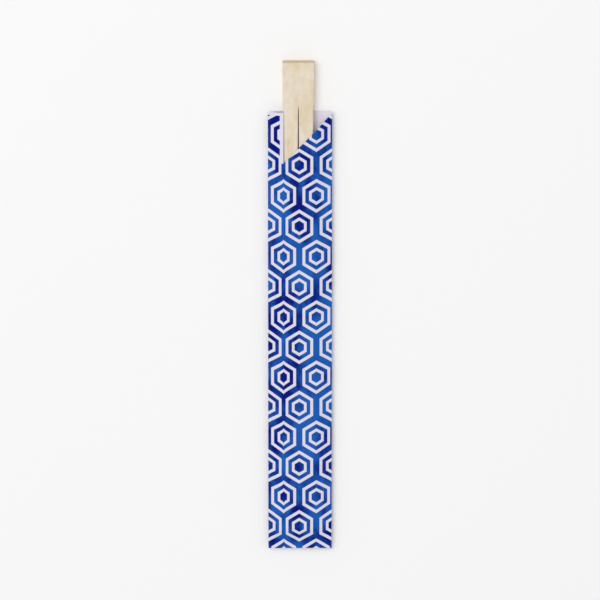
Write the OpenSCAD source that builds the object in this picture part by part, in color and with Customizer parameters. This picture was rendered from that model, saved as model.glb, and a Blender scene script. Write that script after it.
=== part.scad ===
// A pair of disposable bamboo chopsticks, still joined at the head, in a half-open paper sleeve.
// Millimetres. The sleeve lies on its back panel, +Y points to the joined head and +Z is up.
// The origin is on the surface it lies on, under the middle of the whole length.

/* [Chopsticks] */
// Length of the pair, from the head's end to the tips
pair_l = 210; // [150:1:270]
// Width of the joined head
head_w = 13.7; // [10:0.1:18]
// Thickness of the joined head
head_t = 5; // [4.2:0.1:7]
// Length of the head, down to the pointed end of the kerf
head_l = 19.5; // [10:0.1:40]
// Width of the kerf between the sticks, just below its pointed end
kerf_w = 0.35; // [0.2:0.05:1.2]
// Depth milled off each outer side below the head
side_cut = 0.25; // [0.1:0.05:1.2]
// Depth milled off the front and off the back below the head
face_cut = 0.2; // [0.1:0.05:0.5]
// Radius of the sticks' rounded outer edges just below the head
edge_r = 0.8; // [0.3:0.05:1.5]
// Radius of the sharper edges beside the kerf, just below the head
kerf_edge_r = 0.15; // [0.1:0.05:0.8]
// Radius of the cutter, which leaves its own curve where each cut runs out into the head
cutter_r = 24; // [10:1:60]
// Rounding along the head's long edges
head_edge_r = 0.35; // [0.1:0.05:0.8]
// Diameter of the round tips
tip_d = 4; // [3:0.1:4.5]
// Rounding of the tips' ends
tip_round = 0.8; // [0.2:0.1:1.4]

/* [Sleeve] */
// Width of the sleeve beside the head, from the head's side to the fold
side_room = 7.15; // [5:0.05:14]
// Thickness of the paper
paper_t = 0.12; // [0.08:0.01:0.25]
// Length of the head that stays outside the sleeve
exposed_l = 22.4; // [10:0.1:60]
// Length of the sleeve past the tips
tail_l = 10; // [8:0.5:25]
// Length of the sleeve's end that is pressed flat and glued
seal_l = 3; // [1:0.5:4]
// Room between the sticks and the paper
stick_fit = 0.1; // [0.05:0.05:0.5]
// How far the pair lies to the right of the sleeve's middle
pair_dx = -0.7; // [-1.5:0.1:1.5]
// Share of a straight slope in the paper's fall from the sticks to the folds
tautness = 0.35; // [0.2:0.05:0.8]

/* [Mouth and lap] */
// Width of the glued strip on the front, from the left fold to its free edge
strip_w = 6.8; // [3:0.1:10]
// Width of the flap that is hidden under the strip
lap_w = 4; // [2:0.1:8]
// Depth of the slanted cut at the strip, below the sleeve's upper edge
mouth_depth = 22.5; // [5:0.5:40]
// Depth of the slanted cut at the right fold
mouth_drop = 0.4; // [0.2:0.1:3]

/* [Hidden] */
$fn = 96;

// Margin by which cutting shapes pass the faces that they cut
over = 1;
// Straight pieces in each curved fall of the paper
fall_steps = 10;
// Straight pieces in each rounded edge of a stick, and in its curves at the head and at the tip
edge_steps = 5;
run_out_steps = 6;
tip_steps = 3;
// Rounding of the tips' section, as a share of a full circle's
tip_share = 0.95;

// Stations along the length
total_l = pair_l + tail_l;
y_head = total_l / 2;
y_tip = y_head - pair_l;
y_mouth = y_head - exposed_l;
y_end = -total_l / 2;
y_seal = y_end + seal_l;
y_notch = y_mouth - mouth_depth;

// One stick just below the head
pair_w = head_w - 2 * side_cut;
stick_w = (pair_w - kerf_w) / 2;
stick_t = head_t - 2 * face_cut;
stick_x = (kerf_w + stick_w) / 2;
tip_r = tip_d / 2;

// Length and height of the curve that the cutter leaves where it comes out of the wood
function run_out(depth) = sqrt(2 * cutter_r * depth - depth * depth);
function cutter_rise(way) = cutter_r - sqrt(cutter_r * cutter_r - way * way);
y_cut = y_head - head_l - run_out(kerf_w / 2);
edge_depth = max(edge_r, kerf_edge_r) * (1 - sqrt(0.5));
run_out_l = run_out(edge_depth + face_cut + max(side_cut, kerf_w / 2));

// The pair's largest width and thickness inside the sleeve, at the mouth or at the tips
mouth_rise = cutter_rise(min(max(y_mouth - y_cut, 0), run_out_l));
inside_w = max(min(head_w, pair_w + 2 * mouth_rise), 2 * stick_x + tip_d);
inside_t = max(min(head_t, stick_t + 2 * mouth_rise), tip_d);

// The head lies on the surface, or the sticks on the paper, whichever is higher
pair_z = max(head_t / 2, paper_t + stick_fit + inside_t / 2);

// The sleeve is the same above and below the plane of its two folds
sleeve_h = pair_z + inside_t / 2 + stick_fit + paper_t;
fold_z = sleeve_h / 2;
ridge_w = inside_w + 2 * stick_fit;
sleeve_w = head_w + 2 * side_room;
x_fold = sleeve_w / 2;
x_strip = -x_fold + strip_w;

function reversed(points) = [for (i = [len(points) - 1 : -1 : 0]) points[i]];

// Turns an outline that is drawn from the side, or from the end, to where it belongs
module from_side(w) {
    rotate([90, 0, 90]) translate([0, 0, -w / 2]) linear_extrude(w) children();
}

module from_end(l) {
    translate([0, l / 2, 0]) rotate([90, 0, 0]) linear_extrude(l) children();
}

// Outline of a stick across its length at y: a rectangle of half sizes h, its edges rounded by r.x
// on the outer side and by r.y on the kerf's side
function stick_section(y, h, r) = [
    for (corner = [0 : 3], i = [0 : edge_steps])
        let (
            a = 90 * (corner + i / edge_steps),
            side = [corner == 0 || corner == 3 ? 1 : -1, corner < 2 ? 1 : -1],
            edge = side.x > 0 ? r.x : r.y
        )
        [side.x * (h.x - edge) + edge * cos(a), y, side.y * (h.y - edge) + edge * sin(a)]
];

// Outlines from the tip's rounded end, where they get smaller and nearly round
function tip_sections() = [
    for (i = [tip_steps : -1 : 0])
        let (
            a = 90 * i / tip_steps,
            h = tip_r - tip_round * (1 - cos(a))
        )
        stick_section(y_tip + tip_round * (1 - sin(a)), [h, h], tip_share * [h, h])
];

// Outlines from where the taper starts up into the head, growing by the cutter's curve
function head_sections() = [
    for (i = [0 : run_out_steps + 1])
        let (
            way = run_out_l * min(i / run_out_steps, 1),
            y = i > run_out_steps ? y_head + over : y_cut + way,
            h = [stick_w, stick_t] / 2 + cutter_rise(way) * [1, 1]
        )
        stick_section(y, h, [edge_r, kerf_edge_r])
];

// What the planing leaves of the wood round one stick: square at the head, with rounded outer edges
// and sharp ones beside the kerf, tapering to a round tip
module stick_planing() {
    sections = concat(tip_sections(), head_sections());
    count = len(sections[0]);
    last = (len(sections) - 1) * count;
    polyhedron(
        points = [for (outline = sections) each outline],
        faces = concat(
            [[for (k = [count - 1 : -1 : 0]) k]],
            [[for (k = [0 : count - 1]) last + k]],
            [
                for (j = [0 : len(sections) - 2], k = [0 : count - 1])
                    let (
                        a = j * count + k,
                        b = j * count + (k + 1) % count
                    )
                    [a, b, b + count, a + count]
            ]
        )
    );
}

// Right half of the slat, with the rounded long edges of the head
module half_slat() {
    flat = [head_w / 2 - head_edge_r, head_t / 2 - head_edge_r];
    translate([0, y_head, 0]) rotate([90, 0, 0]) linear_extrude(pair_l + over) {
        translate([0, -head_t / 2]) square([flat.x, head_t]);
        translate([0, -flat.y]) square([head_w / 2, 2 * flat.y]);
        for (side = [-1, 1])
            translate([flat.x, side * flat.y]) circle(head_edge_r);
    }
}

module half_pair() {
    intersection() {
        half_slat();
        translate([stick_x, 0, 0]) stick_planing();
    }
}

// One flat slat of bamboo, sawn into two sticks that stay joined at the head
module chopstick_pair() {
    color([0.89, 0.83, 0.72]) translate([pair_dx, 0, pair_z]) {
        half_pair();
        mirror([1, 0, 0]) half_pair();
    }
}

// Height of falling paper, from 1 on the sticks to 0 at the fold, as a share u of the way
function fall(u) = (1 - tautness) * (1 + cos(180 * u)) / 2 + tautness * (1 - u);

// The paper's outer face over such a fall: [way along it, height over the folds' plane]
function fall_curve(run) = [
    for (i = [0 : fall_steps])
        [run * i / fall_steps, paper_t + (fold_z - paper_t) * fall(i / fall_steps)]
];

// The same curve moved square to itself by a distance, outwards if positive
function moved(curve, d) = [
    for (i = [0 : fall_steps])
        let (
            way = curve[min(i + 1, fall_steps)] - curve[max(i - 1, 0)],
            out = [-way.y, way.x] / norm(way)
        )
        curve[i] + d * out
];

// The paper's inner face, which ends in the crease itself
function inner_curve(run) = concat(
    [for (i = [0 : fall_steps - 1]) moved(fall_curve(run), -paper_t)[i]],
    [[run - paper_t, 0]]
);

// Faces of the paper: its outside, its inside, and a second layer's outside
function face_curve(face, run) =
    face == "inside" ? inner_curve(run)
    : face == "outside" ? fall_curve(run)
    : moved(fall_curve(run), paper_t);

// The sleeve from its end: flat over and under the sticks, falling to a fold on each side
module sleeve_section(face) {
    right = face_curve(face, x_fold - pair_dx - ridge_w / 2);
    left = face_curve(face, x_fold + pair_dx - ridge_w / 2);
    top = concat(
        [for (p = reversed(left)) [pair_dx - ridge_w / 2 - p.x, fold_z + p.y]],
        [for (p = right) [pair_dx + ridge_w / 2 + p.x, fold_z + p.y]]
    );
    polygon(concat(top, [for (p = reversed(top)) [p.x, 2 * fold_z - p.y]]));
}

// The sleeve from the side: open at the mouth, falling from the tips to the flat end
module sleeve_profile(face) {
    curve = face_curve(face, y_tip - y_seal);
    mouth = face == "inside" ? y_mouth + over : y_mouth;
    flat_end = face == "inside" ? [] : [[y_end, fold_z + curve[fall_steps].y]];
    top = concat(
        [[mouth, fold_z + curve[0].y]],
        [for (p = curve) [y_tip - p.x, fold_z + p.y]],
        flat_end
    );
    polygon(concat(top, [for (p = reversed(top)) [p.x, 2 * fold_z - p.y]]));
}

module sleeve_form(face) {
    intersection() {
        from_end(2 * total_l) sleeve_section(face);
        from_side(2 * sleeve_w) sleeve_profile(face);
    }
}

// What the slanted cut takes off the front, from the strip's edge to the right fold
module mouth_cut() {
    translate([0, 0, fold_z]) linear_extrude(sleeve_h) polygon([
        [x_strip, y_notch],
        [x_fold, y_mouth - mouth_drop],
        [x_fold + over, y_mouth - mouth_drop],
        [x_fold + over, y_mouth + over],
        [x_strip, y_mouth + over]
    ]);
}

// The strip lies over the flap below the cut, so the paper is double there
module lap() {
    difference() {
        intersection() {
            sleeve_form("second layer");
            translate([x_strip - lap_w, y_end, fold_z]) cube([lap_w, y_notch - y_end, sleeve_h]);
        }
        sleeve_form("inside");
    }
}

// One sheet of paper, folded to a flat tube and glued along the strip and across its end
module paper_sleeve() {
    color([0.12, 0.3, 0.66]) {
        difference() {
            sleeve_form("outside");
            sleeve_form("inside");
            mouth_cut();
        }
        lap();
    }
}

chopstick_pair();
paper_sleeve();
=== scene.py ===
"""Looks of a joined pair of bamboo chopsticks in a half-open paper sleeve, laid out as an add-on."""

import math

import bmesh
import bpy
import numpy as np
from bpy.props import FloatProperty, FloatVectorProperty, PointerProperty
from mathutils import Euler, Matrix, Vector


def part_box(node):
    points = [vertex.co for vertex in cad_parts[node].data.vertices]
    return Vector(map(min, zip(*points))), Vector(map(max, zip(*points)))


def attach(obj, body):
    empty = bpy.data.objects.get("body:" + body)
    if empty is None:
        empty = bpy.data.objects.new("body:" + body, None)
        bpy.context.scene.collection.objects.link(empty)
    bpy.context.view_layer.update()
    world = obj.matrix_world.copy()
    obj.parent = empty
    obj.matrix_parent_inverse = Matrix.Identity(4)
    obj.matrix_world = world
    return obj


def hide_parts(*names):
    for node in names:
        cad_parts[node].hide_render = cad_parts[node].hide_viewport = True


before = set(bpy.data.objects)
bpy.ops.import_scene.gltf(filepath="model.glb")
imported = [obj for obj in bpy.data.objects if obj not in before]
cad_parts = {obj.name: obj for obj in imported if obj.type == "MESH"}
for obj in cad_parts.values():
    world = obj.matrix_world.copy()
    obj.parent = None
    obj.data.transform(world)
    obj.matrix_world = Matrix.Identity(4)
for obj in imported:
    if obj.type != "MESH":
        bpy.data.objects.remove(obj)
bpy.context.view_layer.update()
PAIR_LOW, PAIR_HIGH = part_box("chopstick_pair")
SLEEVE_LOW, SLEEVE_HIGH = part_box("paper_sleeve")

bl_info = {
    "name": "Chopstick pair in a paper sleeve",
    "version": (1, 0, 0),
    "blender": (4, 5, 0),
    "location": "3D View > Sidebar > Chopsticks",
    "description": "Builds a joined bamboo pair, its folded and printed sleeve, and a plain stage",
    "category": "Add Mesh",
}

MM = 0.001

# Points closer than this are one point, and edges shorter than the second length are taken out
ONE_POINT = 0.002 * MM
NO_EDGE = ONE_POINT / 20
# Edges that turn by more than this stay sharp in the shading
SHARP_ANGLE = math.radians(38)

# Even steps in the bamboo's mesh, along a stick and round its section
TIP_STEPS = 8
TAPER_STEPS = 69
RUN_OUT_STEPS = 59
HEAD_STEPS = 9
EASE_STEPS = 5
EDGE_STEPS = 14
FLAT_STEPS = 12
# Rounding of the tips' section, as a share of a full circle's
TIP_SHARE = 0.95

# Even steps in the sheet's mesh, across it: the hidden flap, the front over the sticks and beside them,
# a fold, the back beside the sticks and under them, and the strip
LAP_STEPS = 11
FRONT_STEPS = 33
FRONT_SIDE_STEPS = 23
FOLD_STEPS = 10
BACK_SIDE_STEPS = 17
BACK_STEPS = 25
STRIP_STEPS = 21
# The same along it: past the tips, over the tips, over the sticks, and up to the mouth's edges
PAST_TIP_STEPS = 33
OVER_TIP_STEPS = 8
STICK_STEPS = 63
MOUTH_STEPS = 27
# Length of the rows over the tips, and the room between the even rows and the mouth
OVER_TIP_L = 12 * MM
BELOW_MOUTH = 1.0 * MM

# How near the fall across and the fall along come before they round into each other, as a share
FALL_BLEND = 0.16
# The strip rises onto the flap between these distances outside the flap's hidden edge, and sinks again
# between these heights above the low end of the mouth
LAP_RISE = (0.9 * MM, 0.1 * MM)
LAP_END = (5 * MM, 1 * MM)
# Room for glue under the strip
GLUE_ROOM = 0.01 * MM
# The strip's curl starts this far below the low end of the mouth
CURL_BELOW = 4 * MM
# The slanted edge is lifted from the first to the second distance from the strip, and this fades below it
LIFT_FROM = (0.3 * MM, 4 * MM)
LIFT_FADE = 2.5 * MM
# Two waves in the paper: lengths across and along that turn each by a radian, and a phase
RIPPLES = ((4.1 * MM, 23 * MM, 0.7), (-9 * MM, 13 * MM, 2.1))
# Strength of the waves on the flat, what the slopes add, and the height share from which they are whole
RIPPLE_FLAT = 0.2
RIPPLE_SLOPE = 3
RIPPLE_WHOLE = 0.25
# Share of the waves that is left in the back
BACK_RIPPLE = 0.35

# Columns of hexagons round the sleeve
ROUND_COLUMNS = 4

# Waves per metre in the noises of the materials, across, along and up
FINE_FIBRES = (2600, 40, 2600)
HAIR_FIBRES = (7500, 70, 7500)
WARM_PATCHES = (150, 55, 150)
CROSS_MARKS = (70, 420, 70)
MOTTLES = (420, 260, 420)
FLECKS = (1700, 130, 1700)
PORES = (1500, 300, 1500)
PAPER_TOOTH = (900, 900, 900)
PAPER_CLOUDS = (120, 120, 120)
CREASE_WEAR = (900, 500, 900)
INK_CLOUDS = (110, 60, 110)
INK_GRAIN = (2100, 2100, 2100)
FLOOR_CLOUDS = (3, 3, 3)

# The stage: half the floor's width, its drop below the resting face, the lamp's place and width, and
# how far the camera sees, in distances to the pair
FLOOR_HALF = 4.0
FLOOR_DROP = 0.05 * MM
KEY_PLACE = (-0.9, 1.0, 2.9)
KEY_SIZE = 2.4
VIEW_DEPTH = 10


def length(name, description, millimetres):
    """A length that a user may change, given in millimetres and kept in metres."""
    return FloatProperty(
        name=name, description=description, default=millimetres * MM, unit="LENGTH", precision=5
    )


def share(name, description, value):
    """A plain number that a user may change."""
    return FloatProperty(name=name, description=description, default=value)


def colour(name, description, rgb):
    """A linear colour that a user may change."""
    return FloatVectorProperty(name=name, description=description, default=rgb, subtype="COLOR", size=3)


class BambooPairLooks(bpy.types.PropertyGroup):
    """Sizes and colours of the sawn bamboo pair."""

    head_l: length("Head length", "From the head's end to the pointed end of the kerf", 19.5)
    kerf_w: length("Kerf width", "Gap between the sticks just below the head", 0.35)
    side_cut: length("Side cut", "Depth milled off each outer side below the head", 0.25)
    face_cut: length("Face cut", "Depth milled off the front and the back below the head", 0.2)
    edge_r: length("Edge radius", "Rounding of the sticks' outer edges below the head", 0.8)
    kerf_edge_r: length("Kerf edge radius", "Rounding of the sharper edges beside the kerf", 0.15)
    cutter_r: length("Cutter radius", "Radius of the curve where each cut runs out", 24)
    head_edge_r: length("Head edge radius", "Rounding of the head's long edges", 0.35)
    end_edge_r: length("End edge radius", "Rounding round the head's sawn end", 0.18)
    tip_d: length("Tip diameter", "Diameter of the round tips", 4)
    tip_round: length("Tip rounding", "Rounding of the tips' ends", 0.8)
    warm_end: length("Warm end", "Length at the sawn end where the wood is a little yellower", 7)
    pale: colour("Pale bamboo", "Colour of most of the wood", (0.83, 0.74, 0.637))
    warm: colour("Warm bamboo", "Colour of the yellower patches", (0.735, 0.61, 0.40))
    fibre: colour("Dark fibres", "Colour of the faint flecks and of the sawn end", (0.42, 0.29, 0.14))


class PaperSleeveLooks(bpy.types.PropertyGroup):
    """Sizes of the folded sheet."""

    paper_t: length("Paper thickness", "Thickness of the sheet", 0.12)
    fold_r: length("Fold radius", "Radius of the paper's middle in a fold", 0.09)
    stick_room: length("Stick room", "Width of the flat top over the sticks", 13.4)
    strip_w: length("Strip width", "From the left fold to the strip's free edge", 6.8)
    lap_w: length("Lap width", "Width of the flap under the strip", 4)
    mouth_depth: length("Mouth depth", "Depth of the slanted cut at the strip", 22.5)
    mouth_drop: length("Mouth drop", "Depth of the slanted cut at the right fold", 0.4)
    seal_l: length("Seal length", "Length of the flat glued end", 3)
    lift: length("Edge lift", "How far the slanted edge stands off the sticks", 0.18)
    curl: length("Strip curl", "How far the strip's free corner stands off the sticks", 0.05)
    wave: length("Waves", "Height of the soft waves in the paper", 0.07)
    tautness: share("Tautness", "Share of a straight slope in the paper's fall", 0.35)


class PrintLooks(bpy.types.PropertyGroup):
    """The print of nested hexagons on the sleeve."""

    column: length("Column pitch", "Distance between hexagons side by side", 15.0)
    row: length("Row pitch", "Distance between rows, which are offset by half a column", 13.64)
    first_row: length("First row", "Depth of the first row's centres below the upper edge", 9.7)
    seam: length("Seam", "Width that the hexagons lose where the strip meets the flap", 1.25)
    seam_reach: length("Seam reach", "Distance from the strip's edge within which they lose most of it", 0.6)
    hexagon_w: length("Hexagon width", "Width across the vertical sides", 12.2)
    hexagon_h: length("Hexagon height", "Height from point to point", 15.2)
    margin: length("Margin", "Unprinted border along the upper edge", 1.27)
    # Width of a white band without ink along the strip's free edge, beside the mouth
    white_edge_band: length("Bare edge", "Unprinted border along the strip's free edge, beside the mouth", 1.5)
    crease: length("Crease wear", "Width of the worn ink on each fold", 0.12)
    outer_line: share("Outer line", "Inner limit of the outer white line, as a share of the hexagon", 0.795)
    inner_line: share("Inner line", "Outer limit of the inner white line, as a share of the hexagon", 0.53)
    core: share("Core", "Size of the blue core, as a share of the hexagon", 0.34)
    ink: colour("Ink", "Blue of the print", (0.0, 0.007, 0.19))
    thin_ink: colour("Thin ink", "Blue where the ink lies thinner", (0.013, 0.11, 0.458))
    paper: colour("Paper", "White of the sheet", (0.76, 0.73, 0.84))


class StageLooks(bpy.types.PropertyGroup):
    """The floor, the light and the camera."""

    floor: colour("Floor", "Colour of the floor", (0.965, 0.965, 0.965))
    fill: share("Fill", "Strength of the light from all round", 0.6)
    key: share("Key", "Power of the large soft lamp in watts", 49.0)
    lean: share("Lean", "Lean of the camera towards the head, in degrees", 14.0)
    lens: share("Lens", "Focal length in millimetres", 370.0)
    view_w: length("View width", "Width of the picture where the pair lies", 263.2)
    view_y: length("View centre", "Where the picture's middle falls along the pair", 3.2)


class Shade:
    """A socket of a material whose arithmetic adds Math nodes; node() adds any other node."""

    def __init__(self, tree, socket=None):
        self.tree = tree
        self.socket = socket

    def node(self, kind, settings=None, sockets=None, out=0):
        """Adds a node, applies its settings, then its sockets' values or links, and gives one output."""
        made = self.tree.nodes.new(kind)
        for name, value in (settings or {}).items():
            setattr(made, name, value)
        for name, value in (sockets or {}).items():
            if isinstance(value, Shade):
                self.tree.links.new(value.socket, made.inputs[name])
            else:
                made.inputs[name].default_value = value
        return Shade(self.tree, made.outputs[out])

    def math(self, operation, *values):
        """A Math node of these values."""
        return self.node("ShaderNodeMath", {"operation": operation}, dict(enumerate(values)))

    def __add__(self, other):
        return self.math("ADD", self, other)

    def __sub__(self, other):
        return self.math("SUBTRACT", self, other)

    def __mul__(self, other):
        return self.math("MULTIPLY", self, other)

    def __truediv__(self, other):
        return self.math("DIVIDE", self, other)

    def __abs__(self):
        return self.math("ABSOLUTE", self)

    __radd__ = __add__

    def over(self, low, high):
        """A soft step from 0 at low to 1 at high."""
        limits = {"Value": self, "From Min": low, "From Max": high}
        return self.node("ShaderNodeMapRange", {"interpolation_type": "SMOOTHSTEP"}, limits)

    def noise(self, vector, scale, detail=3.0, roughness=0.55):
        """Noise at a vector, with a scale for each axis in waves per metre."""
        scaled = self.node("ShaderNodeMapping", {}, {"Vector": vector, "Scale": scale})
        values = {"Vector": scaled, "Scale": 1.0, "Detail": detail, "Roughness": roughness}
        return self.node("ShaderNodeTexNoise", {}, values)

    def mix(self, first, second):
        """The first colour where this is 0, the second where it is 1."""
        ends = {0: self}
        for index, end in ((6, first), (7, second)):
            ends[index] = end if isinstance(end, Shade) else (*end, 1.0)
        return self.node("ShaderNodeMix", {"data_type": "RGBA"}, ends, out=2)

    def bump(self, strength, distance):
        """A normal bent by this height."""
        values = {"Height": self, "Strength": strength, "Distance": distance}
        return self.node("ShaderNodeBump", {}, values)

    def drive(self, shader, name):
        """Feeds a shader's socket."""
        self.tree.links.new(self.socket, shader.inputs[name])


def new_finish(name, **constants):
    """A material, its first Shade and its shader, with the shader's fixed values set on its own sockets."""
    material = bpy.data.materials.new(name)
    material.use_nodes = True
    shader = material.node_tree.nodes["Principled BSDF"]
    for socket, value in constants.items():
        shader.inputs[socket.replace("_", " ")].default_value = value
    return material, Shade(material.node_tree), shader


def dimmed(rgb, share_left):
    """A colour with a share of its light."""
    return [channel * share_left for channel in rgb]


def bamboo_finish(looks):
    """Pale planed bamboo: soft yellow patches, fine fibres, faint flecks and marks, a darker sawn end."""
    material, start, shader = new_finish("planed_bamboo", Specular_IOR_Level=0.25)
    place = start.node("ShaderNodeTexCoord", out="Object")
    along = start.node("ShaderNodeSeparateXYZ", {}, {"Vector": place}, out="Y")
    fine = start.noise(place, FINE_FIBRES, 4.0)
    hair = start.noise(place, HAIR_FIBRES, 2.0)
    patch = start.noise(place, WARM_PATCHES, 4.0)
    mark = start.noise(place, CROSS_MARKS, 3.0)
    mottle = start.noise(place, MOTTLES, 3.0)
    fleck = start.noise(place, FLECKS, 2.0)
    fibres = fine.over(0.40, 0.70) * 0.26 + hair.over(0.40, 0.65) * 0.16
    near_end = along.over(PAIR_HIGH.y - looks.warm_end, PAIR_HIGH.y)
    warmth = patch.over(0.42, 0.68) * 0.6 + mottle.over(0.42, 0.66) * 0.3 + mark.over(0.52, 0.72) * 0.2
    warmth = warmth + fibres + near_end * 0.3
    dark = fleck.over(0.64, 0.78) * 0.3 + mottle.over(0.5, 0.75) * 0.05
    wood = dark.mix(warmth.mix(looks.pale, looks.warm), looks.fibre)
    pores = start.noise(place, PORES, 3.0).over(0.35, 0.65)
    sawn = along.over(PAIR_HIGH.y - looks.end_edge_r, PAIR_HIGH.y - looks.end_edge_r / 3)
    (sawn * (0.2 + pores * 0.4)).mix(wood, looks.fibre).drive(shader, "Base Color")
    (0.62 + fine * 0.16 - patch * 0.08).drive(shader, "Roughness")
    (fine * 0.5 + hair * 0.4 + mark * 0.1).bump(0.4, 0.1 * MM).drive(shader, "Normal")
    return material


def hexagon_size(column, row, looks):
    """How far out a point lies in its hexagon, 0 at the centre and 1 on the outline.

    The larger of the way to the upright sides and the way to the slanted sides, in a lattice of
    every second row."""
    across = abs(column - column.math("ROUND", column)) * (2 * looks.column / looks.hexagon_w)
    along = abs(row - row.math("ROUND", row)) * (4 * looks.row / looks.hexagon_h)
    return across.math("MAXIMUM", across, along + across * 0.5)


def print_finish(looks, sleeve):
    """White paper printed in blue, all but two white lines in each hexagon, an unprinted margin along the
    upper edge, and a white band without ink along the strip's free edge beside the mouth.

    The ink is worn along the folds, in short stretches."""
    material, start, shader = new_finish("hexagon_print", Specular_IOR_Level=0.05)
    sheet = start.node("ShaderNodeUVMap", {"uv_map": "print"})
    parts = {"Vector": sheet}
    across = start.node("ShaderNodeSeparateXYZ", {}, parts, out="X")
    depth = start.node("ShaderNodeSeparateXYZ", {}, parts, out="Y")
    column = across / looks.column
    row = (depth - looks.first_row) / (2 * looks.row)
    even_rows = hexagon_size(column, row, looks)
    odd_rows = hexagon_size(column + 0.5, row + 0.5, looks)
    size = start.math("MINIMUM", even_rows, odd_rows)
    soft = 0.012
    white = 0.0
    for inner, outer in ((looks.outer_line, 1.0), (looks.core, looks.inner_line)):
        white = size.over(inner - soft, inner + soft) * size.over(outer + soft, outer - soft) + white
    blur = 0.02 * MM
    # A white band without ink along the strip's free edge, beside the mouth
    bare_from = ROUND_COLUMNS * looks.column - looks.seam / 2 - looks.white_edge_band
    near_edge = across.over(bare_from - blur, bare_from + blur)
    side = near_edge * depth.over(sleeve.mouth_depth + blur, sleeve.mouth_depth)
    border = start.math("MAXIMUM", depth.over(looks.margin + blur, looks.margin - blur), side)
    place = start.node("ShaderNodeTexCoord", out="Object")
    from_middle = abs(start.node("ShaderNodeSeparateXYZ", {}, {"Vector": place}, out="X"))
    crease = from_middle.over(SLEEVE_HIGH.x - looks.crease, SLEEVE_HIGH.x)
    worn = crease * start.noise(place, CREASE_WEAR).over(0.45, 0.6)
    bare = start.math("MAXIMUM", start.math("MAXIMUM", white, border), worn * 0.7)
    density = start.noise(place, INK_CLOUDS, 4.0) * 0.85 + start.noise(place, INK_GRAIN, 2.0) * 0.15
    ink = density.over(0.39, 0.61).mix(looks.ink, looks.thin_ink)
    tooth = start.noise(place, PAPER_TOOTH, 4.0)
    sheet_white = tooth.over(0.3, 0.7).mix(dimmed(looks.paper, 0.965), looks.paper)
    bare.mix(ink, sheet_white).drive(shader, "Base Color")
    (0.46 + bare * 0.1 + tooth * 0.08).drive(shader, "Roughness")
    (tooth + bare * 0.05).bump(0.12, 0.05 * MM).drive(shader, "Normal")
    return material


def plain_paper_finish(looks):
    """The sheet's white inside and its cut edges, with a faint tooth and mottling."""
    material, start, shader = new_finish("plain_paper", Specular_IOR_Level=0.3)
    place = start.node("ShaderNodeTexCoord", out="Object")
    tooth = start.noise(place, PAPER_TOOTH, 4.0)
    cloud = start.noise(place, PAPER_CLOUDS, 3.0)
    shade = (tooth * 0.5 + cloud * 0.5).over(0.35, 0.65)
    shade.mix(dimmed(looks.paper, 0.95), looks.paper).drive(shader, "Base Color")
    (0.6 + tooth * 0.12).drive(shader, "Roughness")
    tooth.bump(0.15, 0.05 * MM).drive(shader, "Normal")
    return material


def floor_finish(looks):
    """A plain pale floor with a very faint cloudiness."""
    material, start, shader = new_finish("pale_floor", Specular_IOR_Level=0.1)
    cloud = start.noise(start.node("ShaderNodeTexCoord", out="Object"), FLOOR_CLOUDS, 2.0)
    cloud.mix(dimmed(looks.floor, 0.99), looks.floor).drive(shader, "Base Color")
    (0.8 + cloud * 0.1).drive(shader, "Roughness")
    return material


def new_mesh(name, points, *face_arrays):
    """A mesh from an array of points and arrays of faces, one array for each number of corners."""
    corners = np.concatenate([faces.ravel() for faces in face_arrays])
    sizes = np.concatenate([np.full(len(faces), faces.shape[1]) for faces in face_arrays])
    mesh = bpy.data.meshes.new(name)
    mesh.vertices.add(len(points))
    mesh.vertices.foreach_set("co", points.astype(np.float32).ravel())
    mesh.loops.add(len(corners))
    mesh.loops.foreach_set("vertex_index", corners.astype(np.int32))
    mesh.polygons.add(len(sizes))
    mesh.polygons.foreach_set("loop_start", np.concatenate(([0], np.cumsum(sizes)[:-1])).astype(np.int32))
    mesh.update(calc_edges=True)
    return mesh


def add_piece(name, mesh, finishes, node):
    """Links a finished mesh, smooth but for its sharp edges, in place of its CAD node."""
    for finish in finishes:
        mesh.materials.append(finish)
    mesh.shade_smooth()
    mesh.set_sharp_from_angle(angle=SHARP_ANGLE)
    piece = bpy.data.objects.new(name, mesh)
    bpy.context.scene.collection.objects.link(piece)
    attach(piece, "root")
    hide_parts(node)


def grid_faces(rows, columns):
    """The quads of a grid of points, row by row."""
    corner = (np.arange(rows - 1)[:, None] * columns + np.arange(columns - 1)).ravel()
    return np.stack([corner, corner + 1, corner + columns + 1, corner + columns], axis=1)


def section_loop(edge_steps, flat_steps):
    """Directions round a rounded rectangle: its four corners in turn, each followed by a flat.

    Gives each point's corner signs across and up, which slide from corner to corner along a flat,
    and the angle at which the corner's radius points there."""
    signs = np.array([(1, 1), (-1, 1), (-1, -1), (1, -1), (1, 1)], float)
    slide = np.linspace(0, 1, flat_steps + 1)[1:-1, None]
    places, angles = [], []
    for corner in range(4):
        turn = np.linspace(90 * corner, 90 * corner + 90, edge_steps + 1)
        here, ahead = signs[corner : corner + 2]
        places += [np.tile(here, (edge_steps + 1, 1)), here + slide * (ahead - here)]
        angles += [turn, np.full(flat_steps - 1, turn[-1])]
    return np.concatenate(places), np.radians(np.concatenate(angles))


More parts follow.
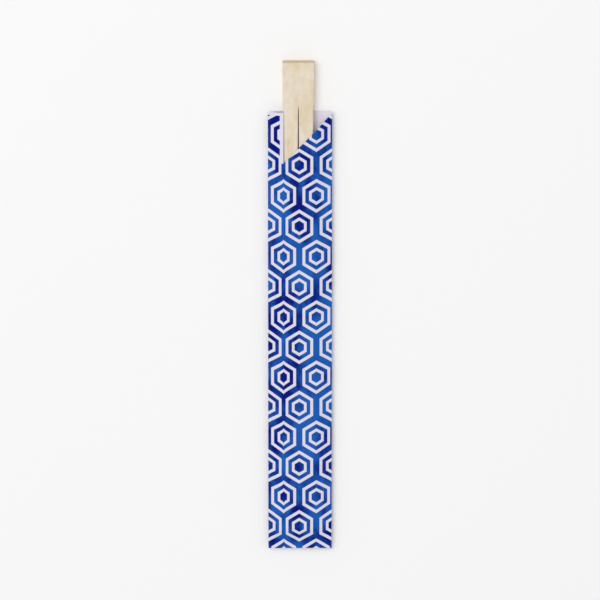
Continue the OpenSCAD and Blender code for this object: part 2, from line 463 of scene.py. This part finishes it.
def pair_stations(looks):
    """Stations along a stick: place, half sizes, both edge radii, and how far the head's end is eased.

    The tip's end is a quarter circle, the stick a straight taper, the run-out the cutter's circle,
    and the head plain up to its eased end."""
    high, low = PAIR_HIGH, PAIR_LOW
    tip_r = looks.tip_d / 2
    half_t = (high.z - low.z) / 2 - looks.face_cut
    half_w = ((high.x - low.x) / 2 - looks.side_cut - looks.kerf_w / 2) / 2
    reach = looks.edge_r * (1 - math.sqrt(0.5)) + looks.face_cut + max(looks.side_cut, looks.kerf_w / 2)
    run_out = math.sqrt(2 * looks.cutter_r * reach - reach**2)
    kerf_run = math.sqrt(looks.cutter_r * looks.kerf_w - (looks.kerf_w / 2) ** 2)
    y_cut = high.y - looks.head_l - kerf_run

    turn = np.radians(np.linspace(90, 0, TIP_STEPS + 1))
    tip_h = tip_r - looks.tip_round * (1 - np.cos(turn))
    tip_y = low.y + looks.tip_round * (1 - np.sin(turn))
    taper = np.linspace(0, 1, TAPER_STEPS + 1)[1:-1]
    way = np.linspace(0, run_out, RUN_OUT_STEPS + 1)
    rise = looks.cutter_r - np.sqrt(looks.cutter_r**2 - way**2)
    head_y = np.linspace(y_cut + run_out, high.y - looks.end_edge_r, HEAD_STEPS + 1)[1:]
    ease = np.radians(np.linspace(0, 90, EASE_STEPS + 1)[1:])
    head = np.ones(len(head_y) + len(ease))

    y = np.concatenate([
        tip_y, tip_y[-1] + taper * (y_cut - tip_y[-1]), y_cut + way, head_y,
        high.y - looks.end_edge_r * (1 - np.sin(ease)),
    ])
    w = np.concatenate([tip_h, tip_r + taper * (half_w - tip_r), half_w + rise, head * (half_w + rise[-1])])
    t = np.concatenate([tip_h, tip_r + taper * (half_t - tip_r), half_t + rise, head * (half_t + rise[-1])])
    tip_edge = TIP_SHARE * tip_h
    outer, inner = (
        np.concatenate([
            tip_edge, tip_edge[-1] + taper * (edge - tip_edge[-1]), np.full(len(way), edge), head * edge
        ])
        for edge in (looks.edge_r, looks.kerf_edge_r)
    )
    eased = np.zeros(len(y))
    eased[-len(ease):] = looks.end_edge_r * (1 - np.cos(ease))
    axis_x = looks.kerf_w / 2 + half_w
    return (column[:, None] for column in (y, w, t, outer, inner, eased)), axis_x


def bamboo_half(looks):
    """Right half of the pair: a rounded rectangle carried along the stations and held inside the slat.

    A point that the growing section carries past the middle, the sides or the faces of the slat is
    moved back to the nearest point of it, whose outer edges are rounded. A point very near the middle
    plane is put on it. The faces in that plane are left out, so the two halves close each other there,
    and a face with only one corner off it keeps the triangle at that corner."""
    (y, w, t, outer, inner, eased), axis_x = pair_stations(looks)
    place, angle = section_loop(EDGE_STEPS, FLAT_STEPS)
    r = (outer * (1 + place[:, 0]) + inner * (1 - place[:, 0])) / 2
    x = axis_x + place[:, 0] * (w - r) + r * np.cos(angle)
    z = place[:, 1] * (t - r) + r * np.sin(angle)
    x = np.where(x < ONE_POINT, 0, x)
    edge = looks.head_edge_r
    core_x = (PAIR_HIGH.x - PAIR_LOW.x) / 2 - eased - edge
    core_z = (PAIR_HIGH.z - PAIR_LOW.z) / 2 - eased - edge
    near_x, near_z = np.minimum(x, core_x), np.clip(z, -core_z, core_z)
    off = np.hypot(x - near_x, z - near_z)
    back = np.where(off > edge, edge / np.maximum(off, edge), 1)
    x, z = near_x + (x - near_x) * back, near_z + (z - near_z) * back

    rows, columns = x.shape
    points = np.stack([x, np.broadcast_to(y, x.shape), z], axis=2).reshape(-1, 3)
    index = np.arange(rows * columns).reshape(rows, columns)
    ring = np.roll(index, -1, axis=1)
    sides = np.stack([index[:-1], ring[:-1], ring[1:], index[1:]], axis=2).reshape(-1, 4)
    in_plane = points[sides, 0] <= 0
    one_off = in_plane.sum(axis=1) == 3
    corner = np.argmin(in_plane[one_off], axis=1)[:, None]
    triangles = np.take_along_axis(sides[one_off], (corner + (-1, 0, 1)) % 4, axis=1)
    quads = sides[in_plane.sum(axis=1) < 3]
    caps = np.stack([index[0], index[-1]])
    return points, (quads, triangles, caps)


def bamboo_mesh(looks):
    """Both halves, mirrored and joined at the middle plane into one closed mesh."""
    points, face_arrays = bamboo_half(looks)
    middle = np.array([(PAIR_LOW.x + PAIR_HIGH.x) / 2, 0, (PAIR_LOW.z + PAIR_HIGH.z) / 2])
    both = np.concatenate([points, points * (-1, 1, 1)]) + middle
    doubled = [np.concatenate([faces, faces + len(points)]) for faces in face_arrays]
    mesh = new_mesh("sawn_bamboo_pair", both, *doubled)
    joined = bmesh.new()
    joined.from_mesh(mesh)
    bmesh.ops.remove_doubles(joined, verts=joined.verts, dist=ONE_POINT)
    bmesh.ops.dissolve_degenerate(joined, edges=joined.edges, dist=NO_EDGE)
    bmesh.ops.delete(joined, geom=[v for v in joined.verts if not v.link_faces], context="VERTS")
    bmesh.ops.recalc_face_normals(joined, faces=joined.faces)
    joined.to_mesh(mesh)
    joined.free()
    return mesh


def paper_fall(way, tautness):
    """Height of falling paper as a share: 1 on the sticks, 0 at the fold, rising on inside the flat.

    Part of it is a cosine half wave, part a straight slope."""
    inside = np.clip(way, 0, 1)
    curve = (1 - tautness) * (1 + np.cos(np.pi * inside)) / 2 + tautness * (1 - inside)
    return np.where(way < 0, 1 - tautness * way, curve)


def soft_lower(first, second, blend):
    """The lower of two heights, rounded where they come within a distance of each other."""
    near = np.maximum(blend - np.abs(first - second), 0) / blend
    return np.minimum(first, second) - near**2 * blend / 4


def smooth(value, low, high):
    """A soft step from 0 at low to 1 at high."""
    step = np.clip((value - low) / (high - low), 0, 1)
    return step * step * (3 - 2 * step)


def chain(start, *legs):
    """Places from a start along legs, each given by its end and its number of even steps."""
    places = [np.array([start])]
    for end, steps in legs:
        places.append(np.linspace(places[-1][-1], end, steps + 1)[1:])
    return np.concatenate(places)


def print_place(way, printed):
    """Place in the print at a way across from the strip's edge.

    It runs ahead of the way by half of what the seam takes, growing to that within a short reach, so
    the hexagons on the seam are narrower and keep their points."""
    return way + np.sign(way) * printed.seam / 2 * (1 - np.exp(-np.abs(way) / printed.seam_reach))


def sheet_columns(looks, printed):
    """The sheet from its hidden edge over the front, the back and the strip, as columns of points.

    Gives each column's place across, the sine of its turn in a fold, whether it is front or back,
    whether it belongs to the strip, its place in the print, and how far up along the sleeve it ends."""
    fold_x = SLEEVE_HIGH.x - looks.fold_r - looks.paper_t / 2
    pair_x = (PAIR_LOW.x + PAIR_HIGH.x) / 2
    left, right = pair_x - looks.stick_room / 2, pair_x + looks.stick_room / 2
    strip_x = SLEEVE_LOW.x + looks.strip_w
    hidden_x = strip_x - looks.lap_w
    turn = np.radians(np.linspace(90, -90, FOLD_STEPS + 1)[1:-1])

    flap = chain(hidden_x, (left, LAP_STEPS), (right, FRONT_STEPS), (fold_x, FRONT_SIDE_STEPS))
    back = chain(fold_x, (right, BACK_SIDE_STEPS), (left, BACK_STEPS), (-fold_x, BACK_SIDE_STEPS))
    strip = chain(-fold_x, (strip_x, STRIP_STEPS))
    right_fold = fold_x + looks.fold_r * np.cos(turn)
    left_fold = -fold_x - looks.fold_r * np.cos(turn)

    x = np.concatenate([flap, right_fold, back, left_fold, strip])
    sine = np.concatenate([
        np.ones(len(flap)), np.sin(turn), -np.ones(len(back)), -np.sin(turn), np.ones(len(strip))
    ])
    groups = [len(flap), len(turn), len(back), len(turn), len(strip)]
    front = np.repeat([1.0, 0.0, -1.0, 0.0, 1.0], groups)
    on_strip = np.repeat([0.0, 0.0, 0.0, 0.0, 1.0], groups)

    bend = looks.fold_r * (np.pi / 2 - turn)
    flap_u = print_place(flap - strip_x, printed)
    fold_u = flap_u[-1] + bend
    strip_u = ROUND_COLUMNS * printed.column + print_place(strip - strip_x, printed)
    back_u = (fold_x - back) / (2 * fold_x)
    back_u = fold_u[-1] + back_u * (strip_u[0] - bend[-1] - fold_u[-1])
    u = np.concatenate([flap_u, fold_u, back_u, back_u[-1] + bend, strip_u])

    y_mouth = SLEEVE_HIGH.y
    slant = (looks.mouth_depth - looks.mouth_drop) / (SLEEVE_HIGH.x - strip_x)
    flap_top = y_mouth - looks.mouth_depth + slant * (flap - strip_x)
    fold_top = flap_top[-1] + (y_mouth - flap_top[-1]) * np.linspace(0, 1, len(turn) + 2)[1:-1]
    top = np.concatenate([flap_top, fold_top, np.full(sum(groups[2:]), y_mouth)])
    return x, sine, front, on_strip, u, top


def sheet_rows(top):
    """Places along the sheet: even rows up to below the mouth, then rows that end at each column's edge."""
    y_tip, y_end = PAIR_LOW.y, SLEEVE_LOW.y
    split = top.min() - BELOW_MOUTH
    past_tip = (y_tip, PAST_TIP_STEPS)
    common = chain(y_end, past_tip, (y_tip + OVER_TIP_L, OVER_TIP_STEPS), (split, STICK_STEPS))
    closing = np.linspace(0, 1, MOUTH_STEPS + 1)[1:, None]
    return np.concatenate([np.repeat(common[:, None], len(top), axis=1), split + closing * (top - split)])


def sleeve_middle(looks, printed):
    """The middle of the paper: flat over the sticks, falling to the folds and to the glued end.

    The fall across and the fall along are joined by their lower one. The strip lies one paper's
    thickness over the flap. Soft waves and lifted edges vanish at the folds."""
    x, sine, front, on_strip, u, top = sheet_columns(looks, printed)
    y = sheet_rows(top)
    pair_x = (PAIR_LOW.x + PAIR_HIGH.x) / 2
    half = looks.stick_room / 2
    fold_x = SLEEVE_HIGH.x - looks.fold_r - looks.paper_t / 2
    run = np.where(x > pair_x, fold_x - pair_x - half, fold_x + pair_x - half)
    across = paper_fall((np.abs(x - pair_x) - half) / run, looks.tautness)
    y_seal = SLEEVE_LOW.y + looks.seal_l
    along = paper_fall((PAIR_LOW.y - y) / (PAIR_LOW.y - y_seal), looks.tautness)
    fall = np.clip(soft_lower(across, along, FALL_BLEND), 0, 1)

    strip_x = SLEEVE_LOW.x + looks.strip_w
    hidden_x = strip_x - looks.lap_w
    notch = SLEEVE_HIGH.y - looks.mouth_depth
    on_flap = smooth(x, hidden_x - LAP_RISE[0], hidden_x - LAP_RISE[1])
    lap = on_strip * on_flap * smooth(y, notch + LAP_END[0], notch + LAP_END[1])
    curl = on_strip * smooth(y, notch - CURL_BELOW, SLEEVE_HIGH.y) * smooth(x, SLEEVE_LOW.x, strip_x)
    edge = (1 - on_strip) * (front > 0) * np.exp(-(top - y) / LIFT_FADE) * fall
    edge = edge * smooth(x, strip_x + LIFT_FROM[0], strip_x + LIFT_FROM[1])
    ripple = sum(np.sin(x / wide + y / long + phase) for wide, long, phase in RIPPLES)
    ripple = ripple * (RIPPLE_FLAT + RIPPLE_SLOPE * fall * (1 - fall)) * smooth(fall, 0, RIPPLE_WHOLE)
    ripple = ripple * np.where(front > 0, 1, BACK_RIPPLE)
    ripple = np.where((front < 0) & (across >= 1), 0, ripple)

    fold_z = (PAIR_LOW.z + PAIR_HIGH.z) / 2
    height = (fold_z - looks.fold_r - looks.paper_t / 2) * fall
    z = fold_z + looks.fold_r * sine + front * height + ripple * looks.wave / 2
    z = z + lap * (looks.paper_t + GLUE_ROOM) + edge * looks.lift + curl * looks.curl
    return np.stack([np.broadcast_to(x, y.shape), y, z], axis=2), u


def sleeve_mesh(looks, printed):
    """The sheet with its thickness: the middle moved square to itself to both faces, and closed all round."""
    middle, u = sleeve_middle(looks, printed)
    out = np.cross(np.gradient(middle, axis=1), np.gradient(middle, axis=0))
    out *= looks.paper_t / 2 / np.linalg.norm(out, axis=2, keepdims=True)
    rows, columns, _ = middle.shape
    count = rows * columns
    points = np.concatenate([(middle + out).reshape(-1, 3), (middle - out).reshape(-1, 3)])

    outside = grid_faces(rows, columns)
    inside = outside[:, ::-1] + count
    index = np.arange(count).reshape(rows, columns)
    border = np.concatenate([index[0, :-1], index[:-1, -1], index[-1, :0:-1], index[:0:-1, 0]])
    ahead = np.roll(border, -1)
    rim = np.stack([ahead, border, border + count, ahead + count], axis=1)
    mesh = new_mesh("folded_paper_sleeve", points, outside, inside, rim)

    plain = np.ones(len(mesh.polygons), np.int32)
    plain[: len(outside)] = 0
    mesh.polygons.foreach_set("material_index", plain)
    sheet = np.stack([np.broadcast_to(u, (rows, columns)), SLEEVE_HIGH.y - middle[:, :, 1]], axis=2)
    sheet = np.tile(sheet.reshape(-1, 2), (2, 1))
    corner = np.empty(len(mesh.loops), np.int32)
    mesh.loops.foreach_get("vertex_index", corner)
    mesh.uv_layers.new(name="print").data.foreach_set("uv", sheet[corner].astype(np.float32).ravel())
    return mesh


def add_lamp(name, place, target, size, power):
    """A square soft lamp that faces a point."""
    data = bpy.data.lights.new(name, "AREA")
    data.size = size
    data.energy = power
    lamp = bpy.data.objects.new(name, data)
    lamp.location = place
    lamp.rotation_euler = (Vector(target) - Vector(place)).to_track_quat("-Z", "Y").to_euler()
    bpy.context.scene.collection.objects.link(lamp)


class CHOPSTICKS_OT_pair(bpy.types.Operator):
    """Builds the joined bamboo pair"""

    bl_idname = "chopsticks.pair"
    bl_label = "Bamboo pair"

    def execute(self, context):
        looks = context.scene.bamboo_pair
        add_piece("sawn_bamboo_pair", bamboo_mesh(looks), [bamboo_finish(looks)], "chopstick_pair")
        return {"FINISHED"}


class CHOPSTICKS_OT_sleeve(bpy.types.Operator):
    """Builds the folded and printed paper sleeve"""

    bl_idname = "chopsticks.sleeve"
    bl_label = "Paper sleeve"

    def execute(self, context):
        looks, printed = context.scene.paper_sleeve, context.scene.sleeve_print
        finishes = [print_finish(printed, looks), plain_paper_finish(printed)]
        mesh = sleeve_mesh(looks, printed)
        add_piece("folded_paper_sleeve", mesh, finishes, "paper_sleeve")
        return {"FINISHED"}


class CHOPSTICKS_OT_stage(bpy.types.Operator):
    """Builds the floor, the soft light and the camera"""

    bl_idname = "chopsticks.stage"
    bl_label = "Stage"

    def execute(self, context):
        scene, looks = context.scene, context.scene.plain_stage
        corners = ((-1, -1), (1, -1), (1, 1), (-1, 1))
        points = np.array([(x * FLOOR_HALF, y * FLOOR_HALF, -FLOOR_DROP) for x, y in corners])
        floor = bpy.data.objects.new("floor", new_mesh("floor", points, np.array([[0, 1, 2, 3]])))
        floor.data.materials.append(floor_finish(looks))
        scene.collection.objects.link(floor)

        world = bpy.data.worlds.new("soft_room")
        world.use_nodes = True
        sky = world.node_tree.nodes["Background"]
        sky.inputs["Color"].default_value = (1, 1, 1, 1)
        sky.inputs["Strength"].default_value = looks.fill
        scene.world = world
        add_lamp("key_lamp", KEY_PLACE, (0, 0, 0), KEY_SIZE, looks.key)

        data = bpy.data.cameras.new("camera")
        data.lens = looks.lens
        distance = looks.view_w * data.lens / data.sensor_width
        data.clip_end = VIEW_DEPTH * distance
        camera = bpy.data.objects.new("camera", data)
        lean = Euler((-math.radians(looks.lean), 0, 0))
        camera.rotation_euler = lean
        aim = Vector((0, looks.view_y, (PAIR_LOW.z + PAIR_HIGH.z) / 2))
        camera.location = aim + lean.to_matrix() @ Vector((0, 0, distance))
        scene.collection.objects.link(camera)
        scene.camera = camera
        scene.view_settings.view_transform = "Standard"
        return {"FINISHED"}


class CHOPSTICKS_PT_panel(bpy.types.Panel):
    """Lists the pieces and their sizes and colours"""

    bl_idname = "CHOPSTICKS_PT_panel"
    bl_label = "Chopsticks"
    bl_space_type = "VIEW_3D"
    bl_region_type = "UI"
    bl_category = "Chopsticks"

    def draw(self, context):
        for operator, names in PANEL_ROWS:
            box = self.layout.box()
            box.operator(operator)
            for name in names:
                group = getattr(context.scene, name)
                for key in group.__annotations__:
                    box.prop(group, key)


PANEL_ROWS = (
    ("chopsticks.pair", ("bamboo_pair",)),
    ("chopsticks.sleeve", ("paper_sleeve", "sleeve_print")),
    ("chopsticks.stage", ("plain_stage",)),
)
GROUPS = {
    "bamboo_pair": BambooPairLooks,
    "paper_sleeve": PaperSleeveLooks,
    "sleeve_print": PrintLooks,
    "plain_stage": StageLooks,
}
CLASSES = (
    *GROUPS.values(),
    CHOPSTICKS_OT_pair,
    CHOPSTICKS_OT_sleeve,
    CHOPSTICKS_OT_stage,
    CHOPSTICKS_PT_panel,
)


def register():
    """Adds the classes, and the groups of sizes and colours to the scene."""
    for cls in CLASSES:
        bpy.utils.register_class(cls)
    for name, group in GROUPS.items():
        setattr(bpy.types.Scene, name, PointerProperty(type=group))


def unregister():
    """Takes them away again."""
    for name in GROUPS:
        delattr(bpy.types.Scene, name)
    for cls in reversed(CLASSES):
        bpy.utils.unregister_class(cls)


def main():
    """Builds the pieces and the stage."""
    register()
    bpy.ops.chopsticks.pair()
    bpy.ops.chopsticks.sleeve()
    bpy.ops.chopsticks.stage()


if __name__ == "__main__":
    main()
